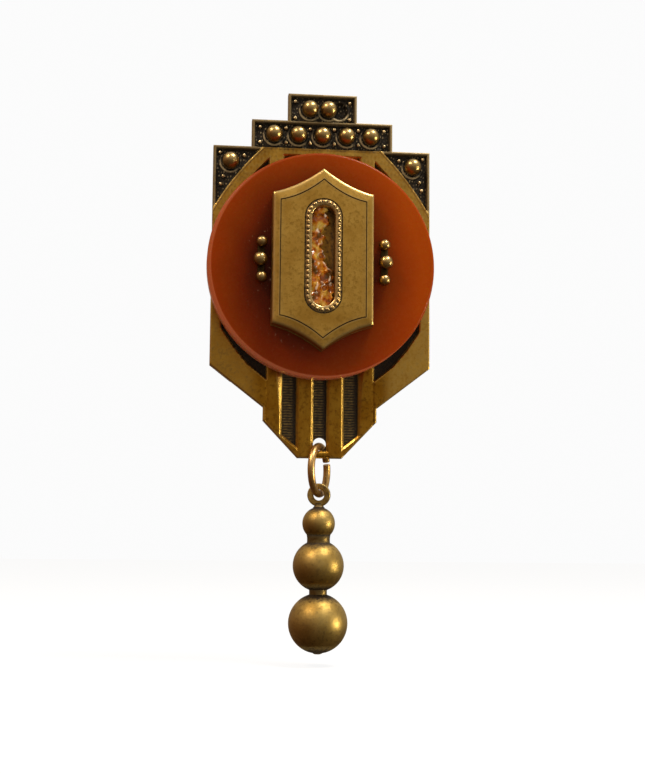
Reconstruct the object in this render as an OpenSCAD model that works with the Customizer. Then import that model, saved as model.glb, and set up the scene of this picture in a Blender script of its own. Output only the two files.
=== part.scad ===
// Art-deco brooch: a stepped stamped frame, an amber disc with a plaque, a
// hanging drop of three balls, and a bar pin with a turning safety catch.
// X is to the wearer's left, Y runs from the front (-) to the back (+), Z is up.
// The origin is on the back face, level with the middle of the disc.

/* [Frame plate] */
// Half the width of the frame between its straight sides
frame_hw = 14; // [13.8:0.05:14.4]
// Height of the frame's shoulders above its lower edge
frame_h = 39.9; // [39.5:0.1:40.4]
// Height of each of the two steps of the crest
tier_h = 3.6; // [3.5:0.05:3.8]
// Half the width of the crest's upper step
top_hw = 4.45; // [4.3:0.05:4.7]
// Half the width of the crest's lower step
row_hw = 9.1; // [8.9:0.05:9.3]
// Thickness from the back face to the front of the rims and bars
plate_t = 1.4; // [1.3:0.05:1.6]
// Depth of the sunk grounds and grooves
relief = 0.55; // [0.4:0.05:0.6]
// Width of the thin rims round the crest
rim_w = 0.4; // [0.3:0.05:0.45]
// Height of the wings' lower corners
wing_up = 11.6; // [11.4:0.1:12]
// Half the width of the lower fan
fan_hw = 7.2; // [7.1:0.05:7.4]
// Half the width of the frame's lower edge
foot_hw = 2.8; // [2.7:0.05:3]
// How far the back of the lower fan is hollowed
fan_hollow = 0.4; // [0.3:0.05:0.4]
// Width of the curved diagonal bars under the crest
diagonal_w = 1.7; // [1:0.05:1.7]

/* [Crest beads] */
// Radius of the beads
bead_r = 1.08; // [1:0.02:1.1]
// Height of a bead's centre above the sunk ground
bead_lift = 0.75; // [0.7:0.01:0.8]
// Spacing of the five beads in the lower step
row_pitch = 3.13; // [3.05:0.01:3.2]
// Radius of the tiny stamped grains
grain_r = 0.27; // [0.22:0.01:0.3]

/* [Disc] */
// Radius of the amber disc
disc_r = 14.38; // [14:0.02:14.5]
// Thickness of the disc
disc_t = 2.75; // [2.5:0.05:3]
// How far the disc and its plaque sit off the frame's middle line
disc_dx = -0.25; // [-0.3:0.05:0]
// Radius of the two rivet posts through the disc
post_r = 0.75; // [0.6:0.05:0.75]

/* [Plaque] */
// Half the width of the plaque at its foot
plaque_hw = 6.35; // [6.2:0.05:6.5]
// Height of the plaque's shoulders above its middle
plaque_sh = 8.3; // [8.1:0.1:8.4]
// Height of the plaque's points above its middle
plaque_apex = 11.5; // [11.3:0.1:11.6]
// How far the plaque stands above the disc
plaque_h = 2.25; // [2.1:0.05:2.4]
// Thickness of the plaque's sheet
plaque_wall = 0.5; // [0.4:0.05:0.5]
// Half the width of the opening for the stone
slot_hw = 1.45; // [1.35:0.05:1.5]
// Half the length of the opening for the stone
slot_hl = 6.35; // [6.2:0.05:6.4]
// Width of the beaded border round the opening
border_w = 0.85; // [0.7:0.05:0.9]
// Depth of the empty stone cup
cup_depth = 1.7; // [1.4:0.05:1.7]

/* [Side beads] */
// Distance of the side beads from the disc's middle
side_x = 7.78; // [7.75:0.01:7.9]
// Spacing of the side beads
side_pitch = 2.23; // [2.15:0.01:2.3]
// Radius of the upper and lower side beads
side_r = 0.72; // [0.65:0.01:0.75]
// Radius of the middle side beads
side_mid_r = 0.9; // [0.8:0.01:0.95]

/* [Jump ring] */
// Radius of the ring's wire
wire_r = 0.46; // [0.44:0.005:0.46]
// Radius of the ring at the middle of its wire
ring_r = 3; // [2.98:0.01:3.02]
// Turn of the ring about the vertical, in degrees
ring_turn = 25; // [20:1:25]

/* [Drop] */
// Radii of the three balls, from the top
ball_r = [2.05, 3.2, 3.7];
// Heights of the three balls' centres below the frame's lower edge
ball_down = [8.15, 13.4, 20.5];
// Radius of the flat eye
eye_r = 1.45; // [1.4:0.05:1.5]
// Radius of the rod through the balls
rod_r = 0.45; // [0.4:0.01:0.46]

/* [Pin finding] */
// Height of the pin above the frame's lower edge
pin_up = 37.2; // [37:0.1:37.3]
// Length of the finding's bar
bar_l = 25; // [24.8:0.1:25.4]
// Radius of the pin stem
stem_r = 0.4; // [0.38:0.01:0.4]
// Distance of the pin stem behind the back face
stem_y = 2.4; // [2.4:0.05:2.6]

/* [Hidden] */
$fn = 64;

e = 0.01;                        // overshoot of a cut past a face
gap = 0.02;                      // play between pieces that are fixed together
origin_up = 24.2;                // height of the origin above the frame's lower edge
rim_y = -plate_t;                // front of the rims and bars
floor_y = rim_y + relief;        // front of the sunk grounds
disc_y = rim_y - disc_t;         // front of the disc
face_y = disc_y - plaque_h;      // front of the plaque
top_up = frame_h + 2 * tier_h;   // top of the crest
row_up = frame_h + tier_h;       // top of the crest's lower step
brass = "#8f7236";
dark_brass = "#4a3a1c";

// Heights and half widths of the fan's bars and grooves
fan_step = [4.65, 6.35];         // the short upright at the fan's sides
groove_hw = 0.85;                // the middle groove
bar_x = 3;                       // outer side of the two middle bars
margin_x = [4.85, 6.85];         // the two outer bars
groove_top = 38.75;
groove_foot = [2.94, 1.45];      // slanted lower ends of the outer grooves
bar_chamfer = 0.26;
foot_h = 0.94;                   // the bar that the jump ring hangs on
foot_eased_hw = 1.25;            // half the length of that bar that is chamfered
hollow_top = 9.5;                // upper end of the hollowed back
hole_r = 0.82;
countersink = 0.25;              // the ring's hole is eased at the back
hole_up = foot_h + hole_r;

// Places on the crest, as [distance to the right, height above the lower edge]
bead_up = [45.05, 41.6, 37.85];
top_beads = [[-1.65, bead_up[0]], [0.75, bead_up[0]]];
row_beads = [for (i = [-2:2]) [i * row_pitch, bead_up[1]]];
corner_beads = [[-11.8, bead_up[2]], [11.75, bead_up[2]]];
lost_bead = [2.15, bead_up[0]];
cup_r = [1.2, 1.4];              // inside and outside of a cup's raised rim
cup_h = 0.2;
lost_hole_r = 0.95;              // the empty seat of the lost bead
lost_hole_floor = 0.35;          // metal left behind it
end_grain_x = [3.55, 8.05];      // the grains at the ends of the upper and lower steps
end_grain_up = [1.1, 1];
mid_grain_up = 0.95;
corner_grains = [[13.15, 39.05], [10.05, 38.75], [12.7, 35.95], [13, 34.9]];
diagonal = [[7.7, 39.9], [13.5, 32.5]];   // two points on a diagonal bar's outer edge
diagonal_r = 36;
pocket_x = 12.6;
pocket_low = [[6.85, 9.85], [9.2, 11.75], [11, 13.9], [12.6, 16.3]];

// Places on the disc and the plaque
plaque_up = 24.55;
plaque_bevel = [0.85, 0.94];     // width and height of the face against the foot
bevel_h = 0.75;
ogee = 0.45;                     // how far the plaque's curved edges sink in
ogee_steps = 8;
slot_up = plaque_up + 0.3;
border_h = 0.25;
cup_wall = 0.35;
post_up = [33.5, 15.9];
head = [1.25, 0.45];             // a rivet's spread head: radius and height
glue = [[-0.9, 5.2, 0.9], [-1.1, 4, 0.85], [-1, 2.9, 0.8], [-0.9, 1.8, 0.9], [-0.6, 0.6, 0.95],
        [-0.7, -0.8, 1], [-0.4, -2.2, 1.05], [-0.2, -3.7, 1.1], [0, -5, 1.2]];
glue_h = 0.6;
side_dx = -0.1;
side_up = 24.5;
strip = [0.9, 5.6, 0.25];        // a side strip's width, height and thickness
side_lift = 0.5;

// The bar's centre, round which the ring swings, and the ring's own centre
foot_c = [0, rim_y / 2 - fan_hollow / 2, foot_h / 2];
ring_down = 1.94;
ring_gap = 0.4;
ring_gap_at = 20;                // place of the ring's joint above its back, in degrees

// The drop
eye_turn = 12;
eye_hole_r = 0.7;
eye_t = 0.8;
eye_down = ring_down + ring_r - foot_c[2] + 0.12;
seat_r = [0.7, 0.9, 1.1, 0.9, 0.95, 0.6]; // flats on the balls, from the top down
collar_r = [1.5, 1.15];

// The pin finding
bar_w = 4.4;
bar_t = 0.6;
rebate = 0.3;
knuckle_x = -10.4;
ear_r = 1.3;
ear_z = [0.75, 1.25];
eye_w = 1.3;                     // thickness of the pin stem's eye
rivet_r = 0.45;
stem_x = [-8.6, 7.2, 12.3];      // start of the straight stem, of its taper, and the tip
neck_r = 0.62;
tip_r = 0.08;
catch_x = [7.9, 10.3];
catch_r = [1.05, 1.5];
rotor_r = [0.5, 1.02];
flange_x = 7.4;
lever_at = 45;                   // the lever's rest place, from straight back, in degrees

function flipped(p) = [for (i = [len(p) - 1:-1:0]) [-p[i][0], p[i][1]]];
function arc_centre(a, b, r) =
    let (m = (a + b) / 2, c = norm(b - a), n = [b[1] - a[1], a[0] - b[0]] / c)
    m + n * sqrt(r * r - c * c / 4);
function seat(ball, flat) = sqrt(ball * ball - flat * flat);
// one quarter of the plaque's curved edge, from its point to its shoulder
function ogee_edge(hw, sh, apex) =
    [for (i = [0:ogee_steps]) let (t = i / ogee_steps)
        [hw * t, apex + (sh - apex) * t - 4 * ogee * t * (1 - t)]];
function quarter_down(p) = [for (i = [len(p) - 1:-1:0]) [p[i][0], -p[i][1]]];

frame_right = [[foot_hw, 0], [fan_hw, fan_step[0]], [fan_hw, fan_step[1]], [frame_hw, wing_up],
    [frame_hw, frame_h], [row_hw, frame_h], [row_hw, row_up], [top_hw, row_up], [top_hw, top_up]];

// a flat shape drawn in the frame's own front view, made solid from y0 to y1
module slab(y0, y1) {
    translate([0, y1, -origin_up]) rotate([90, 0, 0]) linear_extrude(y1 - y0) children();
}

module box2(x0, x1, z0, z1) { translate([x0, z0]) square([x1 - x0, z1 - z0]); }

module stadium(hw, hl) {
    square([2 * hw, 2 * (hl - hw)], center = true);
    for (s = [-1, 1]) translate([0, s * (hl - hw)]) circle(hw);
}

module outline() { polygon(concat(frame_right, flipped(frame_right))); }

// the sunk triangle in one of the crest's corners
module corner_pocket() {
    difference() {
        box2(5, frame_hw - rim_w, 30, frame_h - rim_w);
        translate(arc_centre(diagonal[0], diagonal[1], diagonal_r)) circle(diagonal_r, $fn = 180);
    }
}

// the long sunk pocket between an outer bar and the wing
module side_pocket() {
    intersection() {
        polygon(concat(pocket_low, [[pocket_x, 39], [margin_x[1], 39]]));
        translate(arc_centre(diagonal[0], diagonal[1], diagonal_r))
            circle(diagonal_r - diagonal_w, $fn = 180);
    }
}

module pockets() {
    box2(rim_w - top_hw, top_hw - rim_w, row_up, top_up - rim_w);
    box2(rim_w - row_hw, row_hw - rim_w, frame_h, row_up - rim_w);
    for (m = [0, 1]) mirror([m, 0]) {
        corner_pocket();
        side_pocket();
    }
}

// a groove with chamfered edges from x0 to x1, its foot running from z0 to z1
module groove(x0, x1, z0, z1) {
    c = bar_chamfer;
    intersection() {
        translate([0, 0, -origin_up]) linear_extrude(groove_top) polygon([
            [x0 - c - e, rim_y - e], [x1 + c + e, rim_y - e], [x1, rim_y + c],
            [x1, floor_y], [x0, floor_y], [x0, rim_y + c]]);
        slab(rim_y - 1, 0) polygon([[x0 - 1, z0 + (z0 - z1) / (x1 - x0)],
            [x1 + 1, z1 - (z0 - z1) / (x1 - x0)], [x1 + 1, groove_top], [x0 - 1, groove_top]]);
    }
}

// chamfers along the four edges of the bar that the ring hangs on
module foot_chamfers() {
    c = bar_chamfer;
    d = c + 0.06;                // the inner back edge is eased a little more
    back = -fan_hollow;
    translate([-foot_eased_hw, 0, -origin_up]) rotate([90, 0, 90]) linear_extrude(2 * foot_eased_hw) {
        polygon([[rim_y - e, -e], [rim_y + c, -e], [rim_y - e, c]]);
        polygon([[back + e, -e], [back - c, -e], [back + e, c]]);
        polygon([[rim_y - e, foot_h + e], [rim_y + c, foot_h + e], [rim_y - e, foot_h - c]]);
    }
    translate([-1.1 * hole_r, 0, -origin_up]) rotate([90, 0, 90]) linear_extrude(2.2 * hole_r)
        polygon([[back + e, foot_h + c], [back - c, foot_h + c], [back - d, foot_h],
                 [back + e, foot_h - d]]);
}

// the jump ring's hole, eased at the back
module ring_hole() {
    through([0, hole_up], hole_r, rim_y - e, e);
    translate([0, e - fan_hollow, hole_up - origin_up]) rotate([90, 0, 0])
        cylinder(r1 = hole_r + countersink, r2 = hole_r, h = countersink + e);
}

module through(p, r, y0, y1) { slab(y0, y1) translate(p) circle(r); }

module frame_plate() {
    color(brass) difference() {
        union() {
            slab(floor_y, 0) outline();
            slab(rim_y, floor_y) difference() {
                outline();
                pockets();
            }
            for (p = row_beads) cup_rim(p);
            for (p = corner_beads) cup_rim(p);
            difference() {
                cup_rim(lost_bead);
                through(top_beads[1], bead_r, -plate_t, 0);
            }
            for (m = [-1, 1]) {
                for (p = corner_grains) grain(m * p[0], p[1]);
                for (up = [-1, 1]) {
                    for (i = [0, 1]) grain(m * end_grain_x[i], bead_up[i] + end_grain_up[i] * up);
                    for (k = [0.5, 1.5]) grain(m * k * row_pitch, bead_up[1] + mid_grain_up * up);
                }
            }
        }
        groove(-groove_hw, groove_hw, foot_h, foot_h);
        groove(bar_x, margin_x[0], groove_foot[1], groove_foot[0]);
        groove(-margin_x[0], -bar_x, groove_foot[0], groove_foot[1]);
        through(lost_bead, lost_hole_r, floor_y - e, -lost_hole_floor);
        ring_hole();
        foot_chamfers();
        slab(-fan_hollow, 1) box2(-frame_hw, frame_hw, -1, hollow_top);
        slab(-rebate, 1) translate([0, pin_up]) square([bar_l + 0.1, bar_w + 0.1], center = true);
        for (up = post_up) {
            through([disc_dx, up], post_r + gap, rim_y - e, e);
            rivet_cone([disc_dx, up], gap);
        }
    }
}

module cup_rim(p) {
    slab(floor_y - cup_h, floor_y + e) translate(p) difference() {
        circle(cup_r[1]);
        circle(cup_r[0]);
    }
}

module grain(x, up) { translate([x, floor_y - 0.08, up - origin_up]) sphere(grain_r, $fn = 24); }

// the cone of a spread rivet head, larger by the play
module rivet_cone(p, play) {
    translate([p[0], e, p[1] - origin_up]) rotate([90, 0, 0])
        cylinder(r1 = head[0] + play, r2 = post_r + play, h = head[1] + e);
}

// a ball soldered down on a flat: lift is the height of its centre over the seat
module seated_bead(x, up, r, seat_y, lift) {
    color(brass) intersection() {
        translate([x, seat_y - lift, up - origin_up]) sphere(r);
        translate([x - 2 * r, seat_y - 4 * r, up - origin_up - 2 * r]) cube(4 * r);
    }
}

module crest_bead(p) { seated_bead(p[0], p[1], bead_r, floor_y, bead_lift); }

module amber_disc() {
    bevel = 0.3;
    color("#8c3206") difference() {
        translate([disc_dx, rim_y, 0]) rotate([90, 0, 0]) rotate_extrude($fn = 180) polygon([
            [0, 0], [disc_r, 0], [disc_r, disc_t - bevel], [disc_r - bevel, disc_t], [0, disc_t]]);
        for (up = post_up) through([disc_dx, up], post_r + gap, disc_y - e, rim_y + e);
    }
}

module plaque_outline(inset) {
    edge = ogee_edge(plaque_hw - inset, plaque_sh - inset, plaque_apex - inset * 1.2);
    right = concat(edge, quarter_down(edge));
    polygon(concat(right, flipped(right)));
}

module plaque_shell() {
    side_h = plaque_h - bevel_h;
    color(brass) difference() {
        union() {
            slab(disc_y - side_h, disc_y) translate([disc_dx, plaque_up]) plaque_outline(0);
            translate([disc_dx, disc_y - side_h, plaque_up - origin_up]) rotate([90, 0, 0])
                linear_extrude(bevel_h, scale = plaque_bevel, slices = 1) plaque_outline(0);
        }
        slab(face_y + plaque_wall, disc_y + e) translate([disc_dx, plaque_up])
            plaque_outline(2 * plaque_wall);
        slab(face_y - e, disc_y) at_slot() stadium(slot_hw + cup_wall + gap, slot_hl + cup_wall + gap);
    }
}

module at_slot() { translate([disc_dx, slot_up]) children(); }

module stone_cup() {
    color(dark_brass) difference() {
        slab(face_y, face_y + cup_depth + cup_wall - 0.05) at_slot()
            stadium(slot_hw + cup_wall, slot_hl + cup_wall);
        slab(face_y - e, face_y + cup_depth) at_slot() stadium(slot_hw, slot_hl);
    }
}

module beaded_border() {
    color(brass) slab(face_y - border_h, face_y) at_slot() difference() {
        stadium(slot_hw + border_w, slot_hl + border_w);
        stadium(slot_hw, slot_hl);
    }
}

module glue_residue() {
    floor_back = face_y + cup_depth;
    color("#b4560f") slab(floor_back - glue_h, floor_back) at_slot() intersection() {
        stadium(slot_hw - gap, slot_hl - gap);
        for (g = glue) translate([g[0], g[1]]) circle(g[2]);
    }
}

module rivet_post(up) {
    color(dark_brass) {
        through([disc_dx, up], post_r, face_y + plaque_wall, -gap);
        intersection() {
            rivet_cone([disc_dx, up], 0);
            slab(-2, -gap) translate([disc_dx, up]) circle(2 * head[0]);
        }
    }
}

module side_strip(s) {
    color(dark_brass) slab(disc_y - strip[2], disc_y) translate([side_dx + s * side_x, side_up])
        stadium(strip[0] / 2, strip[1] / 2);
}

module side_bead(s, i) {
    r = i == 2 ? side_mid_r : side_r;
    out = i == 2 ? 0.12 : -0.05;
    seated_bead(side_dx + s * (side_x + out), side_up + (2 - i) * side_pitch, r,
        disc_y - strip[2], side_lift * r / side_r);
}

// the ring lies across X and is then turned about the bar's upright line
module jump_ring() {
    color("#a98a4c") translate([0, foot_c[1], foot_c[2] - ring_down - origin_up])
        rotate([0, 0, -ring_turn]) difference() {
            rotate([0, 90, 0]) rotate_extrude() translate([ring_r, 0]) circle(wire_r, $fn = 32);
            rotate([ring_gap_at, 0, 0]) translate([-1, ring_r - 1, -ring_gap / 2])
                cube([2, 2, ring_gap]);
        }
}

module at_drop(down) { translate([0, foot_c[1], -down - origin_up]) children(); }

module eye_pin() {
    top_seat = ball_down[0] - seat(ball_r[0], seat_r[0]);
    end_seat = ball_down[2] + seat(ball_r[2], seat_r[5]);
    color(brass) difference() {
        union() {
            at_drop(eye_down) rotate([0, 0, -eye_turn]) rotate([90, 0, 0])
                cylinder(r = eye_r, h = eye_t, center = true);
            at_drop(top_seat) cylinder(r = seat_r[0], h = top_seat - eye_down - eye_hole_r - 0.3);
            at_drop(end_seat) cylinder(r = rod_r, h = end_seat - top_seat + e);
            at_drop(end_seat + 0.15) cylinder(r1 = 0.4, r2 = seat_r[5], h = 0.15);
        }
        at_drop(eye_down) rotate([0, 0, -eye_turn]) rotate([90, 0, 0])
            cylinder(r = eye_hole_r, h = 2 * eye_t, center = true);
    }
}

// a drilled ball with a flat above and below, i counting from the top
module drop_ball(i) {
    up = seat(ball_r[i], seat_r[2 * i]);
    down = seat(ball_r[i], seat_r[2 * i + 1]);
    color(brass) difference() {
        intersection() {
            at_drop(ball_down[i]) sphere(ball_r[i], $fn = 96);
            at_drop(ball_down[i] + down) translate([-5, -5, 0]) cube([10, 10, up + down]);
        }
        at_drop(ball_down[i] + 5) cylinder(r = rod_r + gap, h = 10);
    }
}

module collar(i) {
    top = ball_down[i] + seat(ball_r[i], seat_r[2 * i + 1]);
    low = ball_down[i + 1] - seat(ball_r[i + 1], seat_r[2 * i + 2]);
    color(dark_brass) at_drop(low) difference() {
        cylinder(r = collar_r[i], h = low - top);
        translate([0, 0, -1]) cylinder(r = rod_r + gap, h = 2 + low - top);
    }
}

// places a part of the finding: x along the bar, y behind the back face, z from the pin's line
module at_pin(x, y) { translate([x, y, pin_up - origin_up]) children(); }

module rod_x(r0, r1, x0, x1) {
    at_pin(x0, stem_y) rotate([0, 90, 0]) cylinder(r1 = r0, r2 = r1, h = x1 - x0);
}

module pin_bar() {
    foot = bar_t - rebate;
    open = rotor_r[0] + 0.05;
    color(brass) {
        at_pin(0, 0) translate([-bar_l / 2, -rebate, -bar_w / 2]) cube([bar_l, bar_t, bar_w]);
        for (s = [-1, 1]) difference() {
            at_pin(knuckle_x, 0) translate([0, 0, s * (ear_z[0] + ear_z[1]) / 2]) {
                translate([0, stem_y, 0]) cylinder(r = ear_r, h = ear_z[1] - ear_z[0], center = true);
                translate([-ear_r, foot - e, (ear_z[0] - ear_z[1]) / 2])
                    cube([2 * ear_r, stem_y - foot, ear_z[1] - ear_z[0]]);
            }
            at_pin(knuckle_x, stem_y) cylinder(r = rivet_r + e, h = 6, center = true);
        }
        difference() {
            union() {
                rod_x(catch_r[1], catch_r[1], catch_x[0], catch_x[1]);
                at_pin(catch_x[0], foot - e) translate([0, 0, -1])
                    cube([catch_x[1] - catch_x[0], 1, 2]);
            }
            rod_x(catch_r[0], catch_r[0], catch_x[0] - 1, catch_x[1] + 1);
            at_pin(catch_x[0] - 1, stem_y) translate([0, 0, -open])
                cube([catch_x[1] - catch_x[0] + 2, 3, 2 * open]);
        }
    }
}

module hinge_rivet() {
    head_h = 0.3;
    color(dark_brass) at_pin(knuckle_x, stem_y) {
        cylinder(r = rivet_r, h = 2 * ear_z[1] + e, center = true);
        for (m = [0, 1]) mirror([0, 0, m]) translate([0, 0, ear_z[1]])
            cylinder(r1 = 0.85, r2 = 0.55, h = head_h);
    }
}

module pin_stem() {
    color("#a9a9a4") difference() {
        union() {
            at_pin(knuckle_x, stem_y) cylinder(r = ear_r - 0.15, h = eye_w, center = true);
            rod_x(neck_r, stem_r, knuckle_x, stem_x[0]);
            rod_x(stem_r, stem_r, stem_x[0], stem_x[1]);
            rod_x(stem_r, tip_r, stem_x[1], stem_x[2]);
        }
        at_pin(knuckle_x, stem_y) cylinder(r = rivet_r + gap, h = 3, center = true);
    }
}

module catch_rotor() {
    lever = [0.4, 0.9, 2.3];     // along the pin, across, and out from its axis
    color(brass) difference() {
        union() {
            rod_x(rotor_r[1], rotor_r[1], flange_x, catch_x[1]);
            rod_x(catch_r[1], catch_r[1], flange_x, catch_x[0] - 0.05);
            at_pin(flange_x, stem_y) rotate([lever_at, 0, 0]) translate([0, 0.6, -lever[1] / 2])
                cube([lever[0], lever[2] - 0.6, lever[1]]);
        }
        rod_x(rotor_r[0], rotor_r[0], flange_x - 1, catch_x[1] + 1);
        at_pin(flange_x - 1, stem_y) translate([0, 0, -rotor_r[0]])
            cube([5, 3, 2 * rotor_r[0]]);
    }
}

frame_plate();
for (i = [1:2]) crest_bead(top_beads[i - 1]);
for (i = [1:5]) crest_bead(row_beads[i - 1]);
crest_bead(corner_beads[0]);  // corner_bead_left
crest_bead(corner_beads[1]);  // corner_bead_right
amber_disc();
plaque_shell();
stone_cup();
beaded_border();
glue_residue();
rivet_post(post_up[0]);  // rivet_post_upper
rivet_post(post_up[1]);  // rivet_post_lower
side_strip(-1);  // side_strip_left
side_strip(1);  // side_strip_right
for (i = [1:3]) {
    side_bead(-1, i);
    side_bead(1, i);
}
jump_ring();
eye_pin();
drop_ball(0);  // ball_small
collar(0);  // collar_upper
drop_ball(1);  // ball_middle
collar(1);  // collar_lower
drop_ball(2);  // ball_large
pin_bar();
hinge_rivet();
pin_stem();
catch_rotor();
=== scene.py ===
import math
import bmesh
import bpy
import numpy as np
from mathutils import Matrix, Vector


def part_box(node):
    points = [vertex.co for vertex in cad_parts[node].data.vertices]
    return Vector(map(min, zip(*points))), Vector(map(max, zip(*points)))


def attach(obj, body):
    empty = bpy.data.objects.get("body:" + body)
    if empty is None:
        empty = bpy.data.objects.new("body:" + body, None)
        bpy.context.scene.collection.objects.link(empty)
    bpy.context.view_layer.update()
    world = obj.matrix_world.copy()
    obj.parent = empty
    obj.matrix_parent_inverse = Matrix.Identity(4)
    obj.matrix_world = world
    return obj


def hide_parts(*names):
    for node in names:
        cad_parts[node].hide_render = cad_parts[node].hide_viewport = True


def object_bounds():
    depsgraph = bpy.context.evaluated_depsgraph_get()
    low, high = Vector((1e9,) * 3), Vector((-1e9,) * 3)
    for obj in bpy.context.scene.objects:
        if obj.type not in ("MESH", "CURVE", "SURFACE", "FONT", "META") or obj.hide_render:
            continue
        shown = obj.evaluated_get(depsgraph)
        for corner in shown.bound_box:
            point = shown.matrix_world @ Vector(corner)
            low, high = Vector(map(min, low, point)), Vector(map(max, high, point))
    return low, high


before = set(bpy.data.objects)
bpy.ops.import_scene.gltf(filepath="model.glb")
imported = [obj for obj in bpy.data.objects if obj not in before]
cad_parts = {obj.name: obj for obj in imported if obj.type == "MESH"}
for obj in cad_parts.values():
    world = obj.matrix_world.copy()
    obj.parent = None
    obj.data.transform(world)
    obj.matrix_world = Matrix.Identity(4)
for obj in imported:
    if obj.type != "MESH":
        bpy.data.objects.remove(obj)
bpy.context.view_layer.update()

MM = 0.001   # every shape below is worked out in millimetres and made in metres

# ---------------------------------------------------------------------------------------------
# Studio. A pale sheet below the hanging brooch, a pale room round it, three soft lamps, and a
# camera a little below and to the left of the brooch, looking up at it.
# ---------------------------------------------------------------------------------------------
look_right = Vector((0.99449, -0.10446, 0.00915))
look_up = Vector((-0.02071, -0.11015, 0.99370))
look_along = Vector((0.10279, 0.98841, 0.11170))
camera_data = bpy.data.cameras.new("camera")
camera_data.sensor_width = 36
camera_data.lens = 63.81
camera_data.clip_start = 0.01
camera = bpy.data.objects.new("camera", camera_data)
camera.matrix_world = Matrix.Translation(Vector((-17.54, -172.73, -34.56)) * MM) @ Matrix(
    (look_right, look_up, -look_along)).transposed().to_4x4()
bpy.context.scene.collection.objects.link(camera)
bpy.context.scene.camera = camera
bpy.context.scene.view_settings.view_transform = "Standard"


def lamp(name, place, aim, width, height, watts, colour):
    """A rectangular soft lamp at place, turned to face aim, both in millimetres."""
    data = bpy.data.lights.new(name, "AREA")
    data.shape = "RECTANGLE"
    data.size = width * MM
    data.size_y = height * MM
    data.energy = watts
    data.color = colour
    obj = bpy.data.objects.new(name, data)
    way = Vector(aim) - Vector(place)
    obj.matrix_world = (Matrix.Translation(Vector(place) * MM)
                        @ way.to_track_quat("-Z", "Y").to_matrix().to_4x4())
    bpy.context.scene.collection.objects.link(obj)


middle = (0, 0, 0)
lamp("window_left", (-170, -130, 230), middle, 80, 60, 0.50, (1.0, 0.80, 0.60))
lamp("lamp_top", (120, -90, 280), middle, 110, 80, 0.95, (1.0, 0.95, 0.88))
lamp("lamp_right", (240, -85, -55), middle, 60, 80, 0.55, (1.0, 0.88, 0.58))

room = bpy.data.worlds.new("room")
room.use_nodes = True
bpy.context.scene.world = room
tree = room.node_tree
tree.nodes.clear()


def add(tree, kind, settings=None, **inputs):
    """Adds a node; settings are its own properties, inputs are values or the sockets that feed it."""
    node = tree.nodes.new(kind)
    for key, value in (settings or {}).items():
        setattr(node, key, value)
    for key, value in inputs.items():
        socket = node.inputs[int(key[1:]) if key[0] == "i" and key[1:].isdigit() else key.replace("_", " ")]
        if isinstance(value, bpy.types.NodeSocket):
            tree.links.new(value, socket)
        elif isinstance(value, tuple) and len(value) == 3 and socket.type == "RGBA":
            socket.default_value = (*value, 1)
        else:
            socket.default_value = value
    return node


def ramp(tree, value, *stops):
    """A colour ramp of (place, colour) stops driven by value."""
    node = add(tree, "ShaderNodeValToRGB", Fac=value)
    while len(node.color_ramp.elements) < len(stops):
        node.color_ramp.elements.new(0.5)
    for element, (place, colour) in zip(node.color_ramp.elements, stops):
        element.position = place
        element.color = (*colour, 1)
    return node.outputs["Color"]


sky = add(tree, "ShaderNodeTexCoord").outputs["Generated"]
way = add(tree, "ShaderNodeSeparateXYZ", Vector=sky)
level = add(tree, "ShaderNodeMapRange", i0=way.outputs["Z"], i1=-1.0, i2=1.0).outputs["Result"]
pale_side = ramp(tree, level, (0.0, (0.09, 0.065, 0.045)), (0.40, (0.26, 0.21, 0.15)),
                 (0.60, (0.62, 0.57, 0.49)), (1.0, (0.95, 0.93, 0.88)))
warm_side = ramp(tree, level, (0.0, (0.07, 0.035, 0.02)), (0.40, (0.20, 0.10, 0.055)),
                 (0.60, (0.42, 0.26, 0.16)), (1.0, (0.85, 0.76, 0.66)))
to_left = add(tree, "ShaderNodeMapRange", i0=way.outputs["X"], i1=0.2, i2=-0.8).outputs["Result"]
walls = add(tree, "ShaderNodeMix", {"data_type": "RGBA"}, i0=to_left, i6=pale_side, i7=warm_side)
seen = add(tree, "ShaderNodeBackground", Color=(0.97, 0.97, 0.97), Strength=1.0)
cast = add(tree, "ShaderNodeBackground", Color=walls.outputs[2], Strength=0.8)
eye_ray = add(tree, "ShaderNodeLightPath").outputs["Is Camera Ray"]
both = add(tree, "ShaderNodeMixShader", i0=eye_ray, i1=cast.outputs[0], i2=seen.outputs[0])
add(tree, "ShaderNodeOutputWorld", Surface=both.outputs[0])


def put_mesh(name, points, faces, smooth_to=50, **marks):
    """A mesh of points in millimetres, made in metres, its faces pointing outwards, smooth below that
    angle. Each mark is an attribute of one number for each point."""
    mesh = bpy.data.meshes.new(name)
    mesh.from_pydata(np.asarray(points, float).reshape(-1, 3) * MM, [], [list(map(int, f)) for f in faces])
    for key, value in marks.items():
        values = np.ascontiguousarray(np.ravel(value), np.float32)
        mesh.attributes.new(key, "FLOAT", "POINT").data.foreach_set("value", values)
    solid = bmesh.new()
    solid.from_mesh(mesh)
    bmesh.ops.remove_doubles(solid, verts=solid.verts, dist=2e-7)
    bmesh.ops.recalc_face_normals(solid, faces=solid.faces)
    solid.to_mesh(mesh)
    solid.free()
    mesh.shade_smooth()
    mesh.set_sharp_from_angle(angle=math.radians(smooth_to))
    obj = bpy.data.objects.new(name, mesh)
    bpy.context.scene.collection.objects.link(obj)
    return obj


def fix(obj, body, slot, material, *nodes):
    """Gives a piece its material and its body, and hides the CAD nodes that it stands for. The slot is not used."""
    obj.data.materials.append(material)
    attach(obj, body)
    if nodes:
        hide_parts(*nodes)
    return obj


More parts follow.
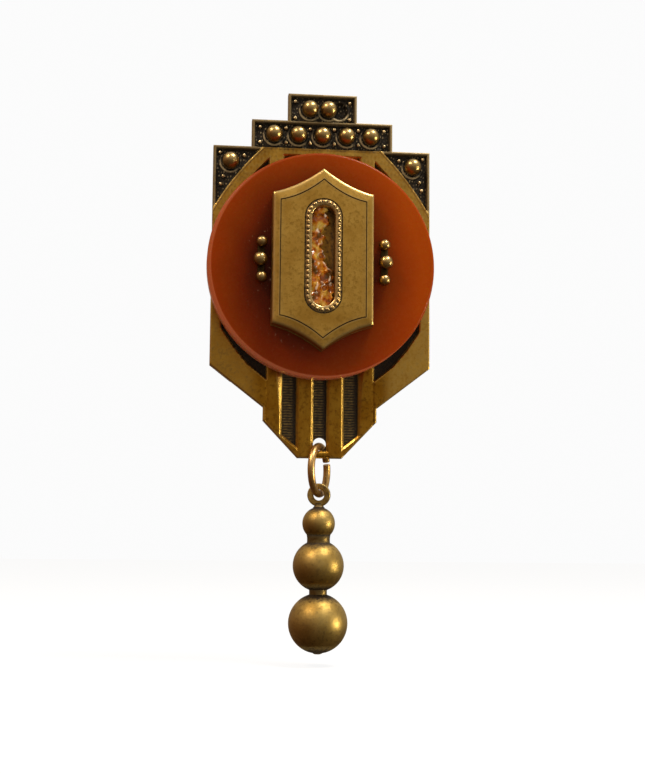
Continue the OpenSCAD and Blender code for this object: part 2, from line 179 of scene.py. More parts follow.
floor_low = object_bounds()[0].z / MM - 1.5
sheet = put_mesh("paper_floor", [(-900, -900, floor_low), (900, -900, floor_low),
                                 (900, 900, floor_low), (-900, 900, floor_low)], [(0, 1, 2, 3)])
paper = bpy.data.materials.new("white_paper")
paper.use_nodes = True
paper_shader = paper.node_tree.nodes["Principled BSDF"]
paper_grain = add(paper.node_tree, "ShaderNodeTexNoise", Scale=700.0, Detail=4.0)
paper_shader.inputs["Base Color"].default_value = (0.13, 0.13, 0.13, 1)
paper_shader.inputs["Roughness"].default_value = 1.0
paper_shader.inputs["Specular IOR Level"].default_value = 0.0
paper_shader.inputs["Emission Color"].default_value = (1, 1, 1, 1)
paper_shader.inputs["Emission Strength"].default_value = 0.88
paper_bump = add(paper.node_tree, "ShaderNodeBump", Strength=0.1, Distance=0.0002,
                 Height=paper_grain.outputs["Fac"])
paper.node_tree.links.new(paper_bump.outputs[0], paper_shader.inputs["Normal"])
sheet.data.materials.append(paper)
sheet.visible_glossy = False

# ---------------------------------------------------------------------------------------------
# Frame plate. One cast and stamped brass plate: a stepped crest with sunk beaded grounds, wings
# with a sunk side pocket, and a lower fan of bars between ribbed grooves. The high places are
# rubbed bright and the grounds are left black from the antiquing bath. Painted highlights are
# added as well: on the right-facing chamfers, on the right side's edges and faces, and on the
# lower side of the cup ridges.
# ---------------------------------------------------------------------------------------------
plate_low, plate_high = (np.array(corner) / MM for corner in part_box("frame_plate"))
LOW = plate_low[2]                      # the frame's lower edge; heights named "up" start there
HALF = plate_high[0]                    # half the frame's width
TOP = plate_high[2] - LOW               # the crest's top
TIER = 3.6                              # height of each step of the crest
SHOULDER = TOP - 2 * TIER
PLATE = 1.4                             # from the back face to the front of rims and bars
SUNK = 0.55                             # depth of the grounds and grooves
TIER_HALF = (9.1, 4.45)
FAN_HALF, FOOT_HALF = 7.2, 2.8
FAN_UP = (4.65, 6.35, 11.6)             # the fan's short upright, and the wings' lower corners
RIM = 0.4
DIAGONAL_R, DIAGONAL_W = 36, 1.7
BAR_X = (0.85, 3, 4.85, 6.85)           # edges of the middle groove, outer grooves and side pockets
GROOVE_TOP = 38.75
HOLE_R, HOLE_UP = 0.82, 1.76            # the jump ring's hole
FOOT_CHAMFER = 0.26                     # along the foot, where the ring swings
BEAD_UP = (45.05, 41.6, 37.85)
ROW_PITCH = 3.13


def arc_centre(a, b, r):
    """Centre of the arc of radius r from a to b that bulges to the right of that line's left side."""
    a, b = np.array(a), np.array(b)
    c = np.linalg.norm(b - a)
    return (a + b) / 2 + np.array([b[1] - a[1], a[0] - b[0]]) / c * math.sqrt(r * r - c * c / 4)


def inside_polygon(x, up, corners):
    """Distance to the polygon's edge, positive inside and negative outside."""
    corners = np.array(corners, float)
    nearest = np.full(np.shape(x), 1e9)
    inside = np.zeros(np.shape(x), bool)
    for (ax, au), (bx, bu) in zip(corners, np.roll(corners, -1, 0)):
        ex, eu = bx - ax, bu - au
        t = np.clip(((x - ax) * ex + (up - au) * eu) / (ex * ex + eu * eu), 0, 1)
        nearest = np.minimum(nearest, np.hypot(x - ax - t * ex, up - au - t * eu))
        if eu:
            inside ^= ((au > up) != (bu > up)) & (x < ax + (up - au) / eu * ex)
    return np.where(inside, nearest, -nearest)


def inside_box(x, up, x0, x1, up0, up1):
    """Distance to an upright rectangle's edge, positive inside."""
    return np.minimum(np.minimum(x - x0, x1 - x), np.minimum(up - up0, up1 - up))


def step(value, low, high):
    """A smooth step from 0 at low to 1 at high."""
    t = np.clip((value - low) / (high - low), 0, 1)
    return t * t * (3 - 2 * t)


def hump(value, half):
    """A rounded ridge, 1 at zero and 0 from half outwards."""
    return np.clip(1 - (value / half) ** 2, 0, 1)


outline_right = [(FOOT_HALF, 0), (FAN_HALF, FAN_UP[0]), (FAN_HALF, FAN_UP[1]), (HALF, FAN_UP[2]),
                 (HALF, SHOULDER), (TIER_HALF[0], SHOULDER), (TIER_HALF[0], SHOULDER + TIER),
                 (TIER_HALF[1], SHOULDER + TIER), (TIER_HALF[1], TOP)]
outline = outline_right + [(-x, up) for x, up in reversed(outline_right)]
diagonal_centre = arc_centre((7.7, SHOULDER), (13.5, 32.5), DIAGONAL_R)
pocket_corners = [(6.85, 9.85), (9.2, 11.75), (11, 13.9), (12.6, 16.3), (12.6, 39), (6.85, 39)]
cups = ([(-1.65, BEAD_UP[0]), (0.75, BEAD_UP[0]), (-11.8, BEAD_UP[2]), (11.75, BEAD_UP[2])]
        + [(i * ROW_PITCH, BEAD_UP[1]) for i in range(-2, 3)])
lost_cup = (2.15, BEAD_UP[0])
grains = [(s * x, up) for s in (-1, 1) for x, up in
          [(13.15, 39.05), (10.05, 38.75), (12.7, 35.95), (13, 34.9), (3.55, BEAD_UP[0] + 1.1),
           (3.55, BEAD_UP[0] - 1.1), (8.05, BEAD_UP[1] + 1), (8.05, BEAD_UP[1] - 1)]
          + [(k * ROW_PITCH, BEAD_UP[1] + v) for k in (0.5, 1.5) for v in (-0.95, 0.95)]]
ripple = np.random.default_rng(7).uniform(0, 6.28, (12, 3))


def unevenness(x, up, size):
    """Soft irregular swelling of a hand-finished cast surface: twelve crossed waves, from -1 to 1."""
    total = 0
    for k, (a, b, c) in enumerate(ripple):
        total = total + np.sin((x * np.cos(a) + up * np.sin(a)) / size * (1 + 0.23 * k) + b) * np.cos(c)
    return total / 5


def relief(x, up):
    """Height of the front over the back face, with how sunk each place is, and how rubbed or painted with a
    highlight.

    Rims and bars stand at the plate's full thickness. Grounds lie SUNK lower, behind walls that
    follow each pocket's edge distance. Edges are rounded, cups are ring ridges, grains are domes."""
    ax = np.abs(x)
    edge = inside_polygon(x, up, outline)
    from_arc = np.hypot(ax - diagonal_centre[0], up - diagonal_centre[1])
    top = inside_box(x, up, RIM - TIER_HALF[1], TIER_HALF[1] - RIM, SHOULDER + TIER, TOP - RIM)
    row = inside_box(x, up, RIM - TIER_HALF[0], TIER_HALF[0] - RIM, SHOULDER, SHOULDER + TIER - RIM)
    corner = np.minimum(from_arc - DIAGONAL_R, inside_box(ax, up, 5, HALF - RIM, 30, SHOULDER - RIM))
    ground = np.maximum(np.maximum(top, row), corner)
    pocket = np.minimum(inside_polygon(ax, up, pocket_corners), DIAGONAL_R - DIAGONAL_W - from_arc) - 0.02
    middle_groove = np.minimum(np.minimum(BAR_X[0] - ax, up - 0.94), GROOVE_TOP - up)
    slant = (up - 1.45 - (ax - BAR_X[1]) * 0.805) * 0.78
    outer_groove = np.minimum(np.minimum(ax - BAR_X[1], BAR_X[2] - ax), np.minimum(slant, GROOVE_TOP - up))
    groove = np.maximum(middle_groove, outer_groove)
    # the two margins' inner edges are filed to a facet that widens upwards
    margin_side = (ax > (BAR_X[1] + BAR_X[2]) / 2) & (up < 25)
    facet = 0.26 + np.where(margin_side, 0.075 * np.clip(up - 5.5, 0, 6), 0)

    wall = np.maximum(step(ground, -0.10, 0.07), step(pocket, -0.12, 0.10))
    filed = np.clip((groove + facet) / facet, 0, 1)
    groove_wall = 0.45 * filed + 0.55 * step(groove, 0, 0.09)
    sunk = np.maximum(wall, groove_wall)
    height = PLATE - SUNK * sunk
    r = 0.17
    height -= r - np.sqrt(r * r - np.clip(r - edge, 0, r) ** 2)
    height = np.where(ax < 1.25, np.minimum(height, PLATE - FOOT_CHAMFER + up), height)
    # the bars are very slightly domed, and the wings are polished more than the margins, with a painted highlight
    # that makes the right wing lighter still
    beam = np.where(ax < 4, (ax - 1.925) / 1.075, (ax - 5.85) / 1.0)
    on_beam = (ax > BAR_X[0]) & (ax < BAR_X[3]) & (up < 12)
    height -= 0.09 * (1 - sunk) * on_beam * np.clip(np.abs(beam), 0, 1) ** 3
    in_ground = step(ground, 0.02, 0.15)
    lumps = unevenness(x, up, 0.16)
    height += in_ground * 0.08 * lumps

    in_groove = step(groove, 0.05, 0.14)
    ribs = np.abs(np.sin(math.pi * up / 0.34 + 0.45 * unevenness(x, up, 0.5)))
    # the ribbing tool ran left of the middle in each groove, so the ribs fade towards the right
    across = np.where(ax < BAR_X[1], x / BAR_X[0], (ax - BAR_X[1]) / (BAR_X[2] - BAR_X[1]) * 2 - 1)
    across = np.where((ax >= BAR_X[1]) & (x < 0), -across, across)
    ribbed = in_groove * step(across, 0.75, 0.2) * (0.6 + 0.4 * unevenness(x, up, 0.4))
    height += 0.08 * ribbed * (ribs - 0.4) + in_groove * 0.05 * unevenness(x, up, 0.2)
    in_pocket = step(pocket, 0.05, 0.14)
    hatch = np.abs(np.sin(math.pi * (up + 0.7 * ax) / 0.5))
    height += in_pocket * 0.05 * (hatch - 0.4)

    # every outer edge is rubbed bright; in the crest the right side's edges are painted brighter than the left's,
    # which is a painted highlight
    rubbed = hump(edge - 0.05, 0.16) * np.where(up > 30, np.where(x > 0, 0.45, 0.12), 0.8)
    rubbed = np.maximum(rubbed, 0.15 * hump(ground + 0.13, 0.14) * (ground > -0.35))
    # the groove chamfers that face right are painted bright and those that face left stay dull: a painted highlight
    # from the lamp at the right
    facing_right = np.where(ax > BAR_X[2] - 0.4, x < 0, (ax < BAR_X[1] - 0.4) == (x < 0))
    facing_right = np.where((ax > BAR_X[1] - 0.5) & (ax < BAR_X[1] + 0.3), x > 0, facing_right)
    rubbed = np.maximum(rubbed, np.where(facing_right, 0.9, 0.15) * hump(groove + facet * 0.55, facet * 0.75))
    rubbed = np.maximum(rubbed, 0.24 * ribbed * step(ribs, 0.5, 0.95))
    # wings: lighter than the margins, and lighter on the right than on the left, which is a painted highlight
    rubbed = np.maximum(rubbed, np.where(x > 0, 0.45, 0.20) * step(ax, 7.6, 9.5) * (up < 25) * (1 - sunk))
    sunk = np.maximum(sunk, 0.55 * step(ground, -0.42, -0.38))
    rubbed = np.maximum(rubbed, 0.5 * in_ground * step(lumps, 0.35, 0.8))
    rubbed = np.maximum(rubbed, 0.7 * hump(pocket + 0.1, 0.14))
    # the polished line along the diagonal bars' outer edge
    on_bar = (ax > 5) & (ax < HALF) & (up < SHOULDER) & (up > 30)
    line = hump(from_arc - DIAGONAL_R + 0.13, 0.15) * on_bar
    height += 0.06 * line
    rubbed = np.maximum(rubbed, line)
    # streaks over the faces within the diagonal bars' arc; the streaks are wear, and the right side's extra
    # brightness is a painted highlight
    streaks_and_painted_sheen = np.where(x > 0, 0.34, 0.20) + 0.18 * unevenness(x * 3, up * 3, 0.7)
    rubbed = np.maximum(rubbed, streaks_and_painted_sheen * (1 - sunk) * (up > 30) * (from_arc < DIAGONAL_R))

    for cx, cu in cups:
        r = np.hypot(x - cx, up - cu)
        ridge = hump(r - 1.3, 0.17)
        height = np.maximum(height, PLATE - SUNK + 0.16 * np.sqrt(ridge) * (ridge > 0))
        # each cup's ridge is brightened only on its lower left side: a painted highlight
        lower_left = step((cu - up) + 0.5 * (cx - x), 0.1, 1.2)
        rubbed = np.maximum(rubbed, 0.55 * step(ridge, 0.2, 0.8) * lower_left)
    r = np.hypot(x - lost_cup[0], up - lost_cup[1])
    away = np.hypot(x - cups[1][0], up - cups[1][1]) > 1.08
    ridge = hump(r - 1.28, 0.19) * away
    height = np.maximum(height, PLATE - SUNK + 0.2 * np.sqrt(ridge) * (ridge > 0))
    # the lost cup's ridge is brightened only on its lower side: a painted highlight
    rubbed = np.maximum(rubbed, 0.5 * step(ridge, 0.2, 0.8) * step(lost_cup[1] - 0.2 - up, 0, 0.5))
    pit = step(1.06 + 0.07 * unevenness(x, up, 0.3) - r, 0, 0.12) * away
    height = height * (1 - pit) + pit * (0.40 + 0.06 * unevenness(x, up, 0.25))
    sunk = np.maximum(sunk, 1.6 * pit)
    for cx, cu in grains:
        r = np.hypot(x - cx, up - cu)
        dome = PLATE - SUNK + 0.08 + np.sqrt(np.clip(0.27 ** 2 - r * r, 0, None))
        here = r < 0.27
        height = np.where(here, np.maximum(height, dome), height)
        rubbed = np.maximum(rubbed, step(0.24 - r, 0, 0.12))
        sunk = np.where(r < 0.2, 0.35, sunk)
    return height, sunk, np.clip(rubbed, 0, 1)


def half_width(up):
    """Half the plate's width at a height, below the shoulders."""
    return np.interp(up, (0, *FAN_UP), (FOOT_HALF, FAN_HALF, FAN_HALF, HALF))


def lines(*stretches):
    """Grid lines: each stretch is (start, end, spacing), and neighbours share an end."""
    parts = [np.linspace(a, b, max(2, round((b - a) / d) + 1))[:-1] for a, b, d in stretches]
    return np.concatenate(parts + [[stretches[-1][1]]])


def plate_slab(name, ups, half, pitch, back):
    """A slab between its back and the relief, on a grid of rows at each height and of columns that
    spread with the half width, four of them close to each side edge. Cells in the ring's hole are
    left out, the corners next to them are drawn to its circle, and walls close every open edge."""
    close = np.array([0.0, 0.03, 0.08, 0.15])
    count = round(2 * np.max(half) / pitch)
    share = np.linspace(-1, 1, count)
    half = np.broadcast_to(half, ups.shape)[:, None]
    x = np.concatenate([close - half, share * (half - 0.24), (half - close)[:, ::-1]], 1)
    up = np.broadcast_to(ups[:, None], x.shape)
    rows, columns = x.shape
    mid_x = (x[:-1, :-1] + x[1:, 1:]) / 2
    mid_up = (up[:-1, :-1] + up[1:, 1:]) / 2
    kept = np.hypot(mid_x, mid_up - HOLE_UP) > HOLE_R
    touch_kept = np.zeros(x.shape, bool)
    touch_hole = np.zeros(x.shape, bool)
    for di in (0, 1):
        for dj in (0, 1):
            touch_kept[di:rows - 1 + di, dj:columns - 1 + dj] |= kept
            touch_hole[di:rows - 1 + di, dj:columns - 1 + dj] |= ~kept
    r = np.hypot(x, up - HOLE_UP)
    pull = np.where(touch_kept & touch_hole, (HOLE_R + 0.015) / np.maximum(r, 1e-6), 1)
    x, up = x * pull, HOLE_UP + (up - HOLE_UP) * pull
    height, sunk, rubbed = relief(x, up)
    front = np.stack([x, -height, up + LOW], -1).reshape(-1, 3)
    rear = np.stack([x, np.broadcast_to(-back(x, up), x.shape), up + LOW], -1).reshape(-1, 3)
    index = np.arange(rows * columns).reshape(rows, columns)
    a, b, c, d = index[:-1, :-1], index[:-1, 1:], index[1:, 1:], index[1:, :-1]
    under = rows * columns
    faces = [np.stack([a, b, c, d], -1)[kept], np.stack([d, c, b, a], -1)[kept] + under]
    ringed = np.pad(kept, 1)
    for beside, p, q in ((ringed[:-2, 1:-1], a, b), (ringed[2:, 1:-1], c, d),
                         (ringed[1:-1, :-2], d, a), (ringed[1:-1, 2:], b, c)):
        edge = kept & ~beside
        faces.append(np.stack([q[edge], p[edge], p[edge] + under, q[edge] + under], -1))
    faces = np.concatenate(faces)
    used, faces = np.unique(faces, return_inverse=True)
    plain = np.zeros(sunk.size)
    return put_mesh(name, np.concatenate([front, rear])[used], faces.reshape(-1, 4), 42,
                    sunk=np.concatenate([sunk.ravel(), plain + 0.3])[used],
                    rubbed=np.concatenate([rubbed.ravel(), plain])[used])


def new_material(name):
    """An empty material with its tree, its shader and its Object coordinates in millimetres."""
    material = bpy.data.materials.new(name)
    material.use_nodes = True
    tree = material.node_tree
    shader = tree.nodes["Principled BSDF"]
    place = add(tree, "ShaderNodeMapping", Vector=add(tree, "ShaderNodeTexCoord").outputs["Object"],
                Scale=(1000, 1000, 1000)).outputs[0]
    return material, tree, shader, place


def join_up(tree, shader, **inputs):
    """Feeds the shader's inputs from sockets, or sets them to plain values."""
    for key, value in inputs.items():
        socket = shader.inputs[key.replace("_", " ")]
        if isinstance(value, bpy.types.NodeSocket):
            tree.links.new(value, socket)
        elif isinstance(value, tuple) and len(value) == 3 and socket.type == "RGBA":
            socket.default_value = (*value, 1)
        else:
            socket.default_value = value


def blend(tree, share, first, second):
    """A colour between first, at share 0, and second, at share 1."""
    node = add(tree, "ShaderNodeMix", {"data_type": "RGBA"}, i0=share, i6=first, i7=second)
    return node.outputs[2]


def noise(tree, place, scale, detail=4.0, rough=0.55):
    return add(tree, "ShaderNodeTexNoise", Vector=place, Scale=scale, Detail=detail,
               Roughness=rough).outputs["Fac"]


def span(tree, value, low, high, to_low=0.0, to_high=1.0):
    """Value carried from low..high to to_low..to_high, held at the ends."""
    return add(tree, "ShaderNodeMapRange", i0=value, i1=low, i2=high, i3=to_low, i4=to_high).outputs[0]


def maths(tree, operation, a, b):
    return add(tree, "ShaderNodeMath", {"operation": operation}, i0=a, i1=b).outputs[0]


def attribute(tree, name):
    return add(tree, "ShaderNodeAttribute", {"attribute_name": name}).outputs["Fac"]


def antique_brass(name, gold, pale, dark, black, polish, roughness=0.42, pits=0.5):
    """Brass out of an antiquing bath: mottled gold on the faces, small dark pits, brighter where the
    mesh says that it is rubbed or carries a painted highlight, near black where it says that it is sunk."""
    material, tree, shader, place = new_material(name)
    sunk, rubbed = attribute(tree, "sunk"), attribute(tree, "rubbed")
    clouds = noise(tree, place, 0.35, 5.0, 0.6)
    fine = noise(tree, place, 2.4, 4.0, 0.6)
    grit = noise(tree, place, 9.0, 3.0, 0.6)
    faces = blend(tree, span(tree, clouds, 0.35, 0.65), gold, pale)
    faces = blend(tree, span(tree, fine, 0.50, 0.68, 0.0, 0.65), faces, dark)
    specks = span(tree, noise(tree, place, 1.6, 6.0, 0.7), 0.655, 0.70, 0.0, pits)
    faces = blend(tree, specks, faces, black)
    ground = blend(tree, span(tree, grit, 0.48, 0.95), black, dark)
    depth = span(tree, maths(tree, "ADD", sunk, span(tree, fine, 0.3, 0.7, -0.18, 0.18)), 0.25, 0.85)
    colour = blend(tree, depth, faces, ground)
    # the polish colour goes where the mesh is rubbed and also where it carries a painted highlight
    wear_and_highlight_share = maths(tree, "MULTIPLY", rubbed, span(tree, fine, 0.32, 0.55, 0.45, 1.0))
    colour = blend(tree, wear_and_highlight_share, colour, polish)
    shine = span(tree, grit, 0.3, 0.7, roughness - 0.08, roughness + 0.08)
    rough = maths(tree, "ADD", shine, maths(tree, "MULTIPLY", depth, 0.22))
    rough = maths(tree, "SUBTRACT", rough, maths(tree, "MULTIPLY", wear_and_highlight_share, 0.16))
    bump = add(tree, "ShaderNodeBump", Strength=0.35, Distance=0.00003, Height=maths(
        tree, "ADD", grit, maths(tree, "MULTIPLY", fine, 1.5)))
    join_up(tree, shader, Base_Color=colour, Metallic=maths(tree, "SUBTRACT", 1.0, maths(
        tree, "MULTIPLY", depth, 0.45)), Roughness=rough, Normal=bump.outputs[0])
    return material


GOLD, PALE = (0.280, 0.124, 0.009), (0.39, 0.205, 0.022)
UMBER, BLACK = (0.115, 0.048, 0.005), (0.008, 0.006, 0.0035)
POLISH = (0.72, 0.48, 0.13)
frame_brass = antique_brass("frame_brass", GOLD, PALE, UMBER, BLACK, POLISH)
crest_brass = antique_brass("crest_brass", (0.20, 0.128, 0.042), (0.29, 0.20, 0.082), (0.08, 0.048, 0.016),
                            BLACK, (0.70, 0.54, 0.29))


def flat_back(x, up):
    return 0.0


def fan_back(x, up):
    """How far the back is hollowed: 0.4 low down, more in the chamfers of the foot and round the hole."""
    over_bar = up - (HOLE_UP - HOLE_R)
    inner = np.where(over_bar < 0, FOOT_CHAMFER + 0.06 + over_bar, 0.34 * (over_bar < 0.35))
    foot = np.maximum(FOOT_CHAMFER - up, inner)
    ring_edge = HOLE_R + 0.27 - np.hypot(x, up - HOLE_UP)
    cut = np.maximum(np.where(np.abs(x) < 1.25, foot, 0), ring_edge)
    return np.where(up < 9.53, 0.4, 0.0) + np.clip(cut, 0, 0.34)


lower_ups = lines((0, 0.03, 0.03), (0.03, 0.15, 0.05), (0.15, FAN_UP[0], 0.085), (FAN_UP[0], FAN_UP[1], 0.085),
                  (FAN_UP[1], 9.5, 0.09), (9.5, 9.55, 0.05), (9.55, FAN_UP[2], 0.09), (FAN_UP[2], 18, 0.12),
                  (18, -LOW, 1.0))
upper_ups = lines((-LOW, 29.5, 1.0), (29.5, SHOULDER - 0.15, 0.085), (SHOULDER - 0.15, SHOULDER, 0.04))
row_ups = lines((SHOULDER, SHOULDER + TIER - 0.15, 0.065), (SHOULDER + TIER - 0.15, SHOULDER + TIER, 0.04))
top_ups = lines((SHOULDER + TIER, TOP - 0.15, 0.065), (TOP - 0.15, TOP, 0.04))
for name, ups, half, pitch, back, brass in (
        ("frame_fan", lower_ups, half_width(lower_ups), 0.125, fan_back, frame_brass),
        ("frame_shoulders", upper_ups, HALF, 0.085, flat_back, crest_brass),
        ("frame_crest_row", row_ups, TIER_HALF[0], 0.065, flat_back, crest_brass),
        ("frame_crest_top", top_ups, TIER_HALF[1], 0.065, flat_back, crest_brass)):
    slab = plate_slab(name, ups, half, pitch, back)
    fix(slab, "frame", "antique_brass", brass)
    if brass == crest_brass:          # the plate's back and the diagonal bars are golden
        slab.data.materials.append(frame_brass)
        facing = np.empty(len(slab.data.polygons) * 3)
        slab.data.polygons.foreach_get("normal", facing)
        centre = np.empty(len(slab.data.polygons) * 3)
        slab.data.polygons.foreach_get("center", centre)
        x, up = np.abs(centre[::3]) / MM, centre[2::3] / MM - LOW
        on_bars = (np.hypot(x - diagonal_centre[0], up - diagonal_centre[1]) < DIAGONAL_R) & (up < SHOULDER)
        slab.data.polygons.foreach_set("material_index", ((facing[1::3] > 0.5) | on_bars).astype(np.int32))
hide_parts("frame_plate")

# ---------------------------------------------------------------------------------------------
# Crest beads. Small brass balls, soft-soldered one by one into the crest's cups. Their crowns are
# rubbed clean, and the antiquing stays black round their feet.
# ---------------------------------------------------------------------------------------------
UP, FRONT, RIGHT = np.array([0, 0, 1.0]), np.array([0, -1.0, 0]), np.array([1.0, 0, 0])


def wrapped(rows, columns, round_rows=False):
    """Faces of a grid whose columns, and if asked whose rows, close on themselves."""
    index = np.arange(rows * columns).reshape(rows, columns)
    if round_rows:
        index = np.concatenate([index, index[:1]])
    index = np.concatenate([index, index[:, :1]], 1)
    return np.stack([index[:-1, :-1], index[:-1, 1:], index[1:, 1:], index[1:, :-1]], -1).reshape(-1, 4)


def turned(name, profile, centre, axis=FRONT, count=48, ring=False, smooth_to=50, **marks):
    """A turned shape: profile gives a radius and a distance along the axis for each row, and each row
    is a circle. A ring's profile closes on itself, and any other starts and ends on the axis."""
    profile = np.array(profile, float)
    side = np.cross(axis, UP) if abs(axis[2]) < 0.9 else RIGHT
    other = np.cross(axis, side)
    angle = np.linspace(0, 2 * math.pi, count, endpoint=False)
    circle = np.cos(angle)[:, None] * side + np.sin(angle)[:, None] * other
    points = (np.array(centre, float) + profile[:, None, :1] * circle[None]
              + profile[:, None, 1:] * np.array(axis, float))
    marks = {key: np.repeat(np.asarray(value, float), count) for key, value in marks.items()}
    return put_mesh(name, points, wrapped(len(profile), count, ring), smooth_to, **marks)


def node_box(node):
    """A CAD node's lowest and highest corners and its middle, in millimetres."""
    low, high = (np.array(corner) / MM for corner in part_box(node))
    return low, high, (low + high) / 2


def soldered_ball(name, node, material, slot, swell=0.0):
    """A ball cut flat at its seat with a small flare of solder round the foot.

    Its radius and place come from its node: as wide as the node, and as far forward."""
    low, high, middle = node_box(node)
    radius = (high[0] - low[0]) / 2 + swell
    seat = low[1] + radius
    turn = np.linspace(0, math.pi - math.acos(min(1, (high[1] - seat) / radius)), 22)
    profile = np.stack([radius * np.sin(turn), radius * np.cos(turn)], 1)
    foot = profile[-1, 1]
    profile = np.concatenate([profile, [[profile[-1, 0] + 0.07, foot + 0.0], [0, foot]]])
    forward = (profile[:, 1] - foot) / radius
    ball = turned(name, profile, (middle[0], seat, middle[2]), count=40,
                  sunk=1 - step(forward, 0.15, 0.75), rubbed=0.5 * step(forward, 1.0, 1.6))
    return fix(ball, "frame", slot, material, node)


bead_brass = antique_brass("bead_brass", (0.26, 0.165, 0.050), (0.33, 0.22, 0.075), (0.13, 0.078, 0.022),
                           (0.02, 0.013, 0.006), (0.55, 0.40, 0.18), roughness=0.37, pits=0.25)
crest = (["top_bead_1", "top_bead_2"] + [f"row_bead_{i}" for i in range(1, 6)]
         + ["corner_bead_left", "corner_bead_right"])
for node in crest:
    soldered_ball(node + "_ball", node, bead_brass, "antique_brass")

# ---------------------------------------------------------------------------------------------
# Amber disc. Cut and polished from translucent amber-brown cast resin, 2.75 mm thick. Its colour
# is painted: a glow at the rim and towards the upper right where light comes in, and deep brown
# painted shade where the plaque keeps the light out.
# ---------------------------------------------------------------------------------------------
disc_low, disc_high, disc_middle = node_box("amber_disc")
disc_r = (disc_high[0] - disc_low[0]) / 2
disc_t = disc_high[1] - disc_low[1]


def rounded(radius, thick, edge, steps=6):
    """Half the outline of a round plate from its back's middle to its front's, with rounded edges."""
    turn = np.linspace(0, math.pi / 2, steps)
    back = [(radius - edge / 2 + edge / 2 * math.sin(a), edge / 2 - edge / 2 * math.cos(a)) for a in turn]
    front = [(radius - edge + edge * math.cos(a), thick - edge + edge * math.sin(a)) for a in turn]
    return [(0, 0)] + back + front + [(radius * 0.6, thick), (0, thick)]


def amber_resin():
    """Translucent resin with painted light: a pale orange-brown painted glow at the rim and towards the upper right,
    deep brown painted shade under the plaque, and a painted highlight on the bevel.
    """
    material, tree, shader, place = new_material("amber_resin")
    # painted glow and painted shade: the colour darkens towards the plaque and brightens towards the rim
    from_core = add(tree, "ShaderNodeMapping", Vector=place, Location=(0.10, 0, 0.02),
                    Scale=(0.092, 0, 0.074)).outputs[0]
    reach = add(tree, "ShaderNodeVectorMath", {"operation": "LENGTH"}, i0=from_core).outputs["Value"]
    sides = add(tree, "ShaderNodeSeparateXYZ", Vector=place)
    # painted light: brighter towards the right and the top
    lit_side = maths(tree, "ADD", maths(tree, "MULTIPLY", sides.outputs["X"], 0.0075),
                  maths(tree, "MULTIPLY", sides.outputs["Z"], 0.0050))
    cloud = span(tree, noise(tree, place, 0.16, 1.0), 0.3, 0.7, -0.05, 0.05)
    reach = maths(tree, "ADD", maths(tree, "ADD", reach, lit_side), cloud)
    colour = ramp(tree, span(tree, reach, 0.4, 1.6), (0.05, (0.043, 0.0045, 0.0005)),
                  (0.20, (0.060, 0.0060, 0.0005)), (0.32, (0.100, 0.0100, 0.0004)),
                  (0.46, (0.135, 0.0170, 0.0004)), (0.60, (0.178, 0.0200, 0.0004)),
                  (0.78, (0.225, 0.0280, 0.0004)))
    dust = span(tree, noise(tree, place, 2.6, 2.0, 0.4), 0.70, 0.73)
    near = span(tree, reach, 0.80, 0.55)
    colour = blend(tree, maths(tree, "MULTIPLY", dust, near), colour, (0.22, 0.12, 0.08))
    scuffs = noise(tree, place, 1.3, 5.0, 0.65)
    bump = add(tree, "ShaderNodeBump", Strength=0.12, Distance=0.00003, Height=scuffs)
    # painted light: yellower towards the upper right
    high_up = span(tree, maths(tree, "ADD", sides.outputs["Z"], maths(
        tree, "MULTIPLY", sides.outputs["X"], 0.5)), -12.0, 14.0, 0.0, 0.5)
    painted_light_tint = add(tree, "ShaderNodeMix", {"data_type": "RGBA", "blend_type": "MULTIPLY"}, i0=high_up,
                 i6=colour, i7=(1.04, 1.45, 0.75)).outputs[2]
    from_middle = add(tree, "ShaderNodeVectorMath", {"operation": "LENGTH"}, i0=add(
        tree, "ShaderNodeMapping", Vector=place, Scale=(1, 0, 1)).outputs[0]).outputs["Value"]
    # a pale painted highlight along the bevel, strongest at the lower left
    bevel_highlight = span(tree, from_middle, disc_r - 0.33, disc_r - 0.22, 0.0, 0.22)
    lit_lower_left = span(tree, maths(tree, "ADD", sides.outputs["X"], sides.outputs["Z"]), 6.0, -6.0, 0.15, 1.0)
    colour = blend(tree, maths(tree, "MULTIPLY", bevel_highlight, lit_lower_left), painted_light_tint, (0.62, 0.20, 0.09))
    join_up(tree, shader, Base_Color=colour, Roughness=span(tree, scuffs, 0.35, 0.7, 0.22, 0.34),
            Normal=bump.outputs[0], IOR=1.54, Specular_IOR_Level=0.06, Subsurface_Weight=0.15,
            Subsurface_Scale=0.0008, Subsurface_Radius=(1.0, 0.12, 0.02))
    return material


disc = turned("resin_disc", rounded(disc_r, disc_t, 0.42), (disc_middle[0], disc_high[1], disc_middle[2]),
              count=180, smooth_to=30)
fix(disc, "frame", "amber_plastic", amber_resin(), "amber_disc")

# ---------------------------------------------------------------------------------------------
# Plaque. Pressed from brass sheet, with concave pointed ends, a fine engraved line inside its
# border and an opening for the long stone. It stands on the disc, held by two rivet posts.
# ---------------------------------------------------------------------------------------------
plaque_low, plaque_high, plaque_middle = node_box("plaque_shell")
plaque_half = (plaque_high[0] - plaque_low[0]) / 2
plaque_apex = (plaque_high[2] - plaque_low[2]) / 2
plaque_shoulder = plaque_apex - 3.2
plaque_back = plaque_high[1]
plaque_h = plaque_high[1] - plaque_low[1]
OGEE = 0.45
SLOT_HALF, SLOT_LONG = 1.45, 6.35        # the stone's opening: half its width and half its length
slot_up = node_box("stone_cup")[2][2]
END, SIDE = 26, 20                       # grid steps along a pointed end and along half a side


